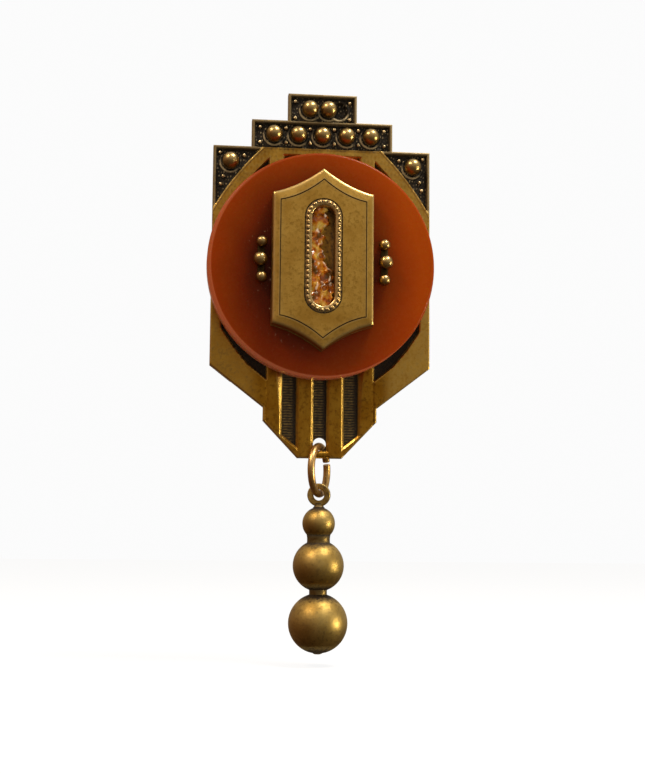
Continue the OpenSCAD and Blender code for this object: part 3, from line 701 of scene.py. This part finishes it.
def all_round(quarter):
    """A whole loop from its upper right quarter, which runs from the top to the right."""
    x, up = quarter
    parts = [(x[:-1], up[:-1]), (x[::-1][:-1], -up[::-1][:-1]), (-x[:-1], -up[:-1]), (-x[::-1][:-1], up[::-1][:-1])]
    return np.stack([np.concatenate([p[0] for p in parts]), np.concatenate([p[1] for p in parts])], 1)


def plaque_loop(inset):
    """The plaque's outline, drawn in by inset: two sagging curves at each end and straight sides."""
    half, shoulder, apex = plaque_half - inset, plaque_shoulder - 1.04 * inset, plaque_apex - 1.51 * inset
    t = np.linspace(0, 1, END + 1)
    end_x, end_up = half * t, apex + (shoulder - apex) * t - 4 * OGEE * t * (1 - t)
    side_up = np.linspace(shoulder, 0, SIDE + 1)[1:]
    return all_round((np.append(end_x, np.full(SIDE, half)), np.append(end_up, side_up)))


def slot_loop(out):
    """The stone's opening, widened by out: half circles joined by straight sides, in the same steps."""
    half = SLOT_HALF + out
    turn = np.linspace(0, math.pi / 2, END + 1)
    end_x, end_up = half * np.sin(turn), SLOT_LONG - SLOT_HALF + half * np.cos(turn)
    side_up = np.linspace(SLOT_LONG - SLOT_HALF, 0, SIDE + 1)[1:]
    loop = all_round((np.append(end_x, np.full(SIDE, half)), np.append(end_up, side_up)))
    return loop + (0, slot_up - plaque_middle[2])


def loops_piece(name, loops, heights, back, centre, sunk, rubbed, smooth_to=35):
    """A closed band of loops, each at its own height in front of back, the last joined to the first."""
    loops = np.array(loops)
    y = back - np.array(heights)[:, None] * np.ones(loops.shape[1])
    points = np.stack([loops[..., 0] + centre[0], y, loops[..., 1] + centre[2]], -1)
    count = loops.shape[1]
    return put_mesh(name, points, wrapped(len(loops), count, True), smooth_to,
                    sunk=np.repeat(sunk, count), rubbed=np.repeat(rubbed, count))


# inset, height, sunk and rubbed, from the foot over the border and the engraved line to the face
plaque_rim = np.array([(0.06, 0, 1, 0), (0, 0.1, 0.9, 0), (0, 0.5, 0.45, 0), (0, plaque_h - 0.5, 0.15, 0),
                       (0.02, plaque_h - 0.38, 0, 0.2), (0.06, plaque_h - 0.27, 0, 0.5),
                       (0.13, plaque_h - 0.18, 0, 0.7), (0.23, plaque_h - 0.125, 0, 0.5),
                       (0.36, plaque_h - 0.095, 0, 0.1), (0.78, plaque_h - 0.04, 0, 0.0),
                       (0.88, plaque_h - 0.02, 0, 0.45), (0.925, plaque_h - 0.02, 0.3, 0.1),
                       (0.955, plaque_h - 0.13, 1.5, 0), (1.01, plaque_h - 0.13, 1.5, 0),
                       (1.045, plaque_h, 0.2, 0.2), (1.10, plaque_h, 0, 0.1)])
loops = [plaque_loop(inset) for inset in plaque_rim[:, 0]]
inner, outer = plaque_loop(1.10), slot_loop(0.94)
loops += [inner + (outer - inner) * share for share in (0.2, 0.4, 0.6, 0.8, 0.93, 1.0)]
loops += [slot_loop(0.895), slot_loop(0.62), slot_loop(0.36), slot_loop(0.36)]
heights = [*plaque_rim[:, 1], *[plaque_h] * 6, plaque_h - 0.14, plaque_h - 0.14, plaque_h - 0.2, 0]
sunk = [*plaque_rim[:, 2], 0, 0, 0, 0, 0, 0.15, 0.9, 0.9, 1, 1]
rubbed = [*plaque_rim[:, 3], 0, 0, 0, 0, 0, 0.1, 0, 0, 0, 0]
satin_brass = antique_brass("satin_brass", (0.385, 0.213, 0.037), (0.50, 0.300, 0.064), (0.25, 0.135, 0.021),
                            (0.012, 0.008, 0.004), (0.62, 0.46, 0.20), roughness=0.43, pits=0.3)
plaque = loops_piece("plaque_pressing", loops, heights, plaque_back, plaque_middle, sunk, rubbed)
fix(plaque, "frame", "satin_brass", satin_brass, "plaque_shell")

# ---------------------------------------------------------------------------------------------
# Stone cup. A sunk brass cup under the opening, with an even wall and a rounded bottom corner. The
# stone has gone, so its dull inside shows.
# ---------------------------------------------------------------------------------------------
cup_deep, cup_wall = 1.7, 0.33
cup_profile = [(0.0, 0.02, 0.1, 0.9), (0, 0.5, 0.25, 0.35), (0, cup_deep - 0.3, 0.5, 0), (-0.06, cup_deep - 0.12, 0.7, 0),
               (-0.2, cup_deep - 0.02, 0.7, 0), (-0.5, cup_deep, 0.45, 0), (-1.3, cup_deep, 0.3, 0),
               (-1.3, cup_deep + 0.3, 1, 0), (cup_wall, cup_deep + 0.3, 1, 0), (cup_wall, 0.02, 0.5, 0)]
loops = [slot_loop(out) for out, _, _, _ in cup_profile]
cup = loops_piece("stone_cup_inside", loops, [plaque_h - p[1] for p in cup_profile], plaque_back, plaque_middle,
                  [p[2] for p in cup_profile], [p[3] for p in cup_profile])
floor_loop = slot_loop(-1.3)
plug_mesh = [(x + plaque_middle[0], plaque_back - plaque_h + cup_deep + d, up + plaque_middle[2])
             for d in (0.0, 0.3) for x, up in floor_loop]
plug_n = len(floor_loop)
plug_sides = [(i, (i + 1) % plug_n, plug_n + (i + 1) % plug_n, plug_n + i) for i in range(plug_n)]
plug = put_mesh("stone_cup_floor", plug_mesh, [list(range(plug_n)), list(range(2 * plug_n - 1, plug_n - 1, -1))]
                + plug_sides, sunk=np.full(2 * plug_n, 0.3), rubbed=np.zeros(2 * plug_n))
cup_brass = antique_brass("cup_brass", (0.27, 0.130, 0.019), (0.34, 0.18, 0.032), (0.15, 0.068, 0.010),
                          (0.02, 0.010, 0.004), (0.60, 0.42, 0.18), roughness=0.42, pits=0.6)
fix(cup, "frame", "dark_brass", cup_brass, "stone_cup")
fix(plug, "frame", "dark_brass", cup_brass)

# ---------------------------------------------------------------------------------------------
# Beaded border. A milgrain strip run round the opening with a knurling wheel: a low ridge pressed
# into a row of tiny beads, with a plain bright lip on its inner side.
# ---------------------------------------------------------------------------------------------
border_h, border_w, mill_beads, mill_steps = 0.25, 0.85, 50, 8
count = mill_beads * mill_steps
straight, bend = 2 * (SLOT_LONG - SLOT_HALF), math.pi * (SLOT_HALF + border_w / 2)
along = np.linspace(0, 2 * (straight + bend), count, endpoint=False)
marks_at = np.cumsum([0, bend, straight, bend, straight])
turn = np.interp(along, marks_at, np.array([0, 1, 1, 2, 2]) * math.pi)
level_up = np.interp(along, marks_at, np.array([1, 1, -1, -1, 1]) * straight / 2)
# distance out from the opening, height over the face, and how much the beads raise and darken it
border_profile = np.array([(0.0, -0.20, 0, 0.1, 0.2), (0.0, 0.02, 0, 0.0, 0.9), (0.05, 0.07, 0, 0.0, 0.7),
                           (0.16, 0.11, 0, 0.0, 0.3), (0.28, 0.14, 0, 0.0, 0.3), (0.34, 0.13, 0.1, 0.5, 0.1),
                           (0.40, 0.08, 0.75, 0.3, 0.3), (0.47, 0.07, 1, 0.1, 0.8), (0.54, 0.05, 1, 0.2, 0.6),
                           (0.62, 0.02, 0.7, 0.3, 0.2), (0.72, -0.02, 0.2, 0.5, 0.0), (0.80, -0.04, 0, 0.8, 0.0),
                           (border_w, 0.0, 0, 0.7, 0.0), (border_w, -0.20, 0, 1.2, 0.0)])
bead_wave = np.abs(np.sin(math.pi * mill_beads * np.arange(count) / count)) ** 0.8
out = SLOT_HALF + border_profile[:, :1]
x = plaque_middle[0] + out * np.cos(turn)
up = slot_up + level_up + out * np.sin(turn)
rise = border_profile[:, 1:2] + 0.17 * border_profile[:, 2:3] * bead_wave
points = np.stack([x, plaque_low[1] - rise, up], -1)
border = put_mesh("milgrain_border", points, wrapped(len(border_profile), count, True), 60,
                  sunk=border_profile[:, 3:4] + 0.75 * border_profile[:, 2:3] * (1 - step(bead_wave, 0.3, 0.75)),
                  rubbed=border_profile[:, 4:5] * np.where(border_profile[:, 2:3] > 0, step(bead_wave, 0.5, 0.95), 1))
border_brass = antique_brass("border_brass", (0.34, 0.205, 0.062), (0.42, 0.27, 0.095), (0.21, 0.115, 0.030),
                             (0.010, 0.007, 0.004), (0.66, 0.48, 0.24), roughness=0.36, pits=0.1)
fix(border, "frame", "satin_brass", border_brass, "beaded_border")

# ---------------------------------------------------------------------------------------------
# Glue residue. Brittle glossy amber glue left where the stone was, thick on the left and at the
# bottom, with broken edges, a domed bubble near the top and burst ones below the middle.
# ---------------------------------------------------------------------------------------------
rows, columns = 190, 44
s = np.sin(np.linspace(-math.pi / 2, math.pi / 2, rows))[:, None]
glue_up = s * (SLOT_LONG - 0.03) * np.ones(columns)
past = np.clip(np.abs(glue_up) - (SLOT_LONG - SLOT_HALF), 0, None)
width = np.sqrt(np.clip((SLOT_HALF - 0.03) ** 2 - past ** 2, 1e-6, None))
glue_x = width * np.linspace(-1, 1, columns)
bound = (0.05 + 1.5 * step(-glue_up, -0.8, 3.0) + 0.22 * np.sin(2.9 * glue_up + 0.6)
         + 0.12 * np.sin(7.3 * glue_up + 1.0) + 0.65 * step(glue_up, 3.2, 4.4))
cover = step(bound - glue_x, -0.10, 0.22)
lumps = unevenness(glue_x, glue_up, 0.30)
thick = 0.48 + 0.30 * unevenness(glue_x + 3, glue_up, 0.60) + 0.10 * lumps + 0.15 * step(-glue_x, 0.3, 1.3)
for bx, bu, br, lift, burst in ((-0.45, 4.75, 0.75, 0.34, False), (0.25, -2.5, 0.72, 0.30, True),
                                (0.25, -3.9, 0.42, 0.26, True), (-0.7, 2.1, 0.36, 0.22, False),
                                (-0.2, 0.2, 0.40, 0.22, True), (-0.75, -4.6, 0.45, 0.24, False)):
    r = np.hypot(glue_x - bx, glue_up - bu) / br
    if burst:
        thick = thick * (1 - 0.75 * step(1 - r, 0.1, 0.5)) + lift * hump(r - 1, 0.24)
    else:
        thick = np.maximum(thick, lift + 0.35 * np.sqrt(np.clip(1 - r * r, 0, 1)) * (r < 1))
thick = np.clip(thick, 0.06, 0.95) * cover - 0.04 * (1 - cover)
glue_floor = plaque_back - plaque_h + cup_deep
sides = [np.stack([glue_x + plaque_middle[0], glue_floor - rise, glue_up + slot_up], -1)
         for rise in (thick, np.full(thick.shape, -0.1))]
index = np.arange(rows * columns).reshape(rows, columns)
a, b, c, d = index[:-1, :-1], index[:-1, 1:], index[1:, 1:], index[1:, :-1]
sheet_faces = np.stack([a, b, c, d], -1).reshape(-1, 4)
rim = np.concatenate([index[0], index[1:, -1], index[-1, -2::-1], index[-2:0:-1, 0]])
joined = np.stack([rim, np.roll(rim, -1), np.roll(rim, -1) + rows * columns, rim + rows * columns], -1)
slope_up, slope_x = np.gradient(thick, glue_up[:, 0], glue_x[rows // 2], edge_order=1)
bend_up, bend_x = np.gradient(slope_up, axis=0), np.gradient(slope_x, axis=1)
# the glue's ridges get near-white painted highlights, broken by a wave pattern
crest_line = step(-(bend_up + bend_x), 0.12, 0.30) * cover
painted_glints = crest_line * step(unevenness(glue_x + 5, glue_up, 0.45), -0.1, 0.5)
glue = put_mesh("glue_lumps", np.concatenate([side.reshape(-1, 3) for side in sides]),
                np.concatenate([sheet_faces, sheet_faces[:, ::-1] + rows * columns, joined]), 80,
                white=np.concatenate([painted_glints.ravel(), np.zeros(rows * columns)]))
glue_stuff, tree, shader, place = new_material("amber_glue")
patches = noise(tree, place, 0.80, 2.0)
glow = ramp(tree, patches, (0.36, (0.120, 0.045, 0.004)), (0.45, (0.34, 0.070, 0.003)),
            (0.54, (0.55, 0.18, 0.006)), (0.66, (0.66, 0.40, 0.06)))
# the near-white painted highlights on the ridges
glow = blend(tree, maths(tree, "MULTIPLY", attribute(tree, "white"), 0.7), glow, (0.95, 0.80, 0.58))
bump = add(tree, "ShaderNodeBump", Strength=0.7, Distance=0.00014, Height=noise(tree, place, 1.9, 1.0))
join_up(tree, shader, Base_Color=glow, Roughness=0.12, IOR=1.5, Specular_IOR_Level=0.3, Normal=bump.outputs[0],
        Coat_Weight=0.5, Coat_Roughness=0.02)
fix(glue, "frame", "old_glue", glue_stuff, "glue_residue")

# ---------------------------------------------------------------------------------------------
# Side beads. Three brass balls on a narrow dark strip at each side of the plaque, stuck to the disc.
# ---------------------------------------------------------------------------------------------
strip_brass = antique_brass("strip_brass", (0.05, 0.032, 0.012), (0.07, 0.045, 0.018), (0.03, 0.018, 0.008),
                            (0.010, 0.007, 0.004), (0.20, 0.13, 0.05), roughness=0.5)
for side in ("left", "right"):
    low, high, middle = node_box("side_strip_" + side)
    half, long = (high[0] - low[0]) / 2, (high[2] - low[2]) / 2
    turn = np.linspace(0, 2 * math.pi, 48, endpoint=False)
    rows = []
    for draw_in, y in ((0.0, high[1]), (0.0, low[1] + 0.1), (0.03, low[1] + 0.03), (0.1, low[1]), (half - 0.01, low[1])):
        r = half - draw_in
        rows.append(np.stack([middle[0] + r * np.cos(turn), np.full(48, y),
                              middle[2] + np.sign(np.sin(turn)) * (long - half) + r * np.sin(turn)], -1))
    rows.append(rows[-1] + np.array([0, high[1] - low[1], 0]))
    strip = put_mesh("bead_strip_" + side, np.array(rows), wrapped(len(rows), 48, True), 40)
    fix(strip, "frame", "dark_brass", strip_brass, "side_strip_" + side)
    for i in (1, 2, 3):
        soldered_ball(f"side_ball_{side}_{i}", f"side_bead_{side}_{i}", bead_brass, "antique_brass")

# ---------------------------------------------------------------------------------------------
# Jump ring. Round brass wire bent to a ring through the foot of the frame, sawn through at the back
# right. Paler and smoother than the castings, with its cut ends left flat.
# ---------------------------------------------------------------------------------------------
ring_low, ring_high, ring_middle = node_box("jump_ring")
RING_TURN, RING_GAP_AT, RING_GAP = math.radians(25), math.radians(20), 0.4
ring_out = (ring_high[2] - ring_low[2]) / 2
wire = 0.46
ring_r = ring_out - wire
ring_back = np.array([math.sin(RING_TURN), math.cos(RING_TURN), 0])
ring_side = np.array([math.cos(RING_TURN), -math.sin(RING_TURN), 0])
half_gap = RING_GAP / 2 / ring_r
turn = np.linspace(RING_GAP_AT + half_gap, RING_GAP_AT + 2 * math.pi - half_gap, 121)
turn = np.concatenate([turn[:1], turn[:1], turn, turn[-1:], turn[-1:]])
thin = np.concatenate([[0, 0.85], [0.97], np.ones(119), [0.97], [0.85, 0]]) * wire
across = np.linspace(0, 2 * math.pi, 28, endpoint=False)
outwards = np.cos(turn)[:, None] * ring_back + np.sin(turn)[:, None] * UP
ring_centre = np.array([0, -0.9, ring_middle[2]])
points = (ring_centre + ring_r * outwards[:, None, :]
          + thin[:, None, None] * (np.cos(across)[None, :, None] * outwards[:, None, :]
                                   + np.sin(across)[None, :, None] * ring_side))
ring = put_mesh("wire_ring", points, wrapped(len(turn), 28), 45)
ring_brass = antique_brass("ring_brass", (0.53, 0.32, 0.11), (0.62, 0.40, 0.16), (0.33, 0.18, 0.05),
                           (0.07, 0.03, 0.010), (0.65, 0.42, 0.18), roughness=0.34, pits=0.3)
fix(ring, "ring", "ring_wire", ring_brass, "jump_ring")

# ---------------------------------------------------------------------------------------------
# Drop. A flat cast eye on a rod carries three turned brass balls with plain collars between them.
# Their crowns are bright, and the antiquing has stayed in the necks.
# ---------------------------------------------------------------------------------------------
drop_brass = antique_brass("drop_brass", (0.280, 0.170, 0.036), (0.46, 0.310, 0.090), (0.13, 0.074, 0.017),
                           (0.03, 0.018, 0.008), (0.50, 0.37, 0.14), roughness=0.48, pits=0.3)
neck_brass = antique_brass("neck_brass", (0.09, 0.055, 0.015), (0.14, 0.09, 0.028), (0.05, 0.028, 0.008),
                           (0.02, 0.012, 0.006), (0.30, 0.21, 0.08), roughness=0.46, pits=0.2)
drop_axis = (0, -0.9)
for node, name in (("ball_small", "drop_ball_small"), ("ball_middle", "drop_ball_middle"),
                   ("ball_large", "drop_ball_large")):
    low, high, middle = node_box(node)
    radius = (high[0] - low[0]) / 2
    centre_z = {"ball_small": -8.15, "ball_middle": -13.4, "ball_large": -20.5}[node] + LOW
    top, bottom = (high[2] - centre_z) / radius, (low[2] - centre_z) / radius
    turn = np.linspace(math.asin(min(1, top)), math.asin(max(-1, bottom)), 44)
    profile = np.stack([radius * np.cos(turn), radius * np.sin(turn)], 1)
    ends = np.minimum(profile[0, 1] - profile[:, 1], profile[:, 1] - profile[-1, 1])
    shade = 1 - step(ends, 0.0, 0.42 * radius)
    profile = np.concatenate([[[0, profile[0, 1]]], profile, [[0, profile[-1, 1]]]])
    ball = turned(name, profile, (*drop_axis, centre_z), axis=UP, count=64,
                  sunk=[1, *shade, 1], rubbed=[0, *(0.35 * step(ends, 0.3 * radius, 0.8 * radius)), 0])
    fix(ball, "drop", "antique_brass", drop_brass, node)
for node, waist in (("collar_upper", 0.07), ("collar_lower", 0.04)):
    low, high, middle = node_box(node)
    radius = (high[0] - low[0]) / 2
    half = (high[2] - low[2]) / 2 + 0.45      # its ends are let into the balls
    level = np.linspace(-1, 1, 13)
    profile = np.stack([radius - waist * (1 - level ** 2), half * level], 1)
    profile = np.concatenate([[[0, -half]], profile, [[0, half]]])
    collar = turned(node + "_turned", profile, (*drop_axis, middle[2]), axis=UP, count=48,
                    sunk=[1, *np.clip(0.3 + 0.9 * level ** 2, 0, 1), 1], rubbed=[0, *(0.35 * (1 - level ** 2)), 0])
    fix(collar, "drop", "dark_brass", neck_brass, node)

eye_low, eye_high, _ = node_box("eye_pin")
EYE_R, EYE_HOLE, EYE_T, EYE_TURN = 1.45, 0.7, 0.8, math.radians(-12)
eye_axis = np.array([math.sin(EYE_TURN), -math.cos(EYE_TURN), 0])
eye_centre = np.array([0, -0.9, eye_high[2] - EYE_R])
soft = 0.14
turn = np.linspace(0, math.pi / 2, 5)
profile = []
for sx, sy, start in ((EYE_R - soft, EYE_T / 2 - soft, 0), (EYE_HOLE + soft, EYE_T / 2 - soft, 1),
                      (EYE_HOLE + soft, soft - EYE_T / 2, 2), (EYE_R - soft, soft - EYE_T / 2, 3)):
    profile += [(sx + soft * math.cos(a + start * math.pi / 2), sy + soft * math.sin(a + start * math.pi / 2))
                for a in turn]
profile = np.array(profile)
flat = (np.abs(profile[:, 1]) > EYE_T / 2 - 0.02) * 0.45
eye = turned("flat_eye", profile, eye_centre, axis=eye_axis, count=56, ring=True, smooth_to=60,
             sunk=flat, rubbed=0.7 * (flat == 0))
fix(eye, "drop", "antique_brass", drop_brass, "eye_pin")
small_top = node_box("ball_small")[1][2]
stalk = np.array([(0, -0.05), (0.72, -0.05), (0.74, 0.05), (0.62, 0.16), (0.55, 0.34), (0.56, 0.60), (0, 0.60)])
stem = turned("eye_neck", stalk, (*drop_axis, small_top), axis=UP, count=40, sunk=[1, 1, 0.9, 0.6, 0.4, 0.5, 1],
              rubbed=[0, 0, 0, 0.3, 0.4, 0, 0])
fix(stem, "drop", "antique_brass", neck_brass)
large_low = node_box("ball_large")[0][2]
tail = np.array([(0, 0.05), (0.60, 0.05), (0.58, -0.03), (0.48, -0.10), (0.28, -0.15), (0, -0.17)])
end = turned("rod_end", tail, (*drop_axis, large_low), axis=UP, count=32, sunk=[1, 1, 0.8, 0.3, 0.1, 0],
             rubbed=[0, 0, 0, 0.4, 0.6, 0.6])
fix(end, "drop", "antique_brass", drop_brass)

# ---------------------------------------------------------------------------------------------
# Pin finding and rivets at the back: a brass bar with hinge ears and an open barrel catch, a steel
# stem on a rivet, and the two posts that hold plaque and disc, spread over at the back.
# ---------------------------------------------------------------------------------------------
finding_brass = antique_brass("finding_brass", (0.50, 0.34, 0.12), (0.58, 0.42, 0.17), (0.36, 0.22, 0.07),
                              (0.06, 0.035, 0.012), (0.8, 0.65, 0.35), roughness=0.33, pits=0.2)
steel, tree, shader, place = new_material("drawn_steel")
drawn = add(tree, "ShaderNodeMapping", Vector=place, Scale=(0.3, 7, 7)).outputs[0]
streaks = noise(tree, drawn, 1.5, 4.0)
steel_bump = add(tree, "ShaderNodeBump", Strength=0.2, Distance=0.00002, Height=streaks)
join_up(tree, shader, Base_Color=ramp(tree, streaks, (0.3, (0.42, 0.41, 0.39)), (0.7, (0.62, 0.61, 0.59))),
        Metallic=1.0, Roughness=span(tree, streaks, 0.3, 0.7, 0.22, 0.34), Normal=steel_bump.outputs[0])
for post in ("rivet_post_upper", "rivet_post_lower"):
    low, high, middle = node_box(post)
    back_face = 0.0
    head = np.array([(0, -0.2), (1.2, -0.2), (1.2, 0.02), (1.08, 0.10), (0.7, 0.16), (0, 0.18)])
    spread = turned(post + "_spread", head, (middle[0], back_face, middle[2]), axis=-FRONT, count=40,
                    sunk=[1, 1, 0.9, 0.3, 0, 0], rubbed=[0, 0, 0, 0.4, 0.2, 0.2])
    fix(spread, "frame", "satin_brass", neck_brass)
for nodes, material in ((("pin_bar", "hinge_rivet", "catch_rotor"), finding_brass), (("pin_stem",), steel),
                        (("rivet_post_upper", "rivet_post_lower"), neck_brass)):
    for node in nodes:
        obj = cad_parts[node]
        obj.data.materials.clear()
        obj.data.materials.append(material)
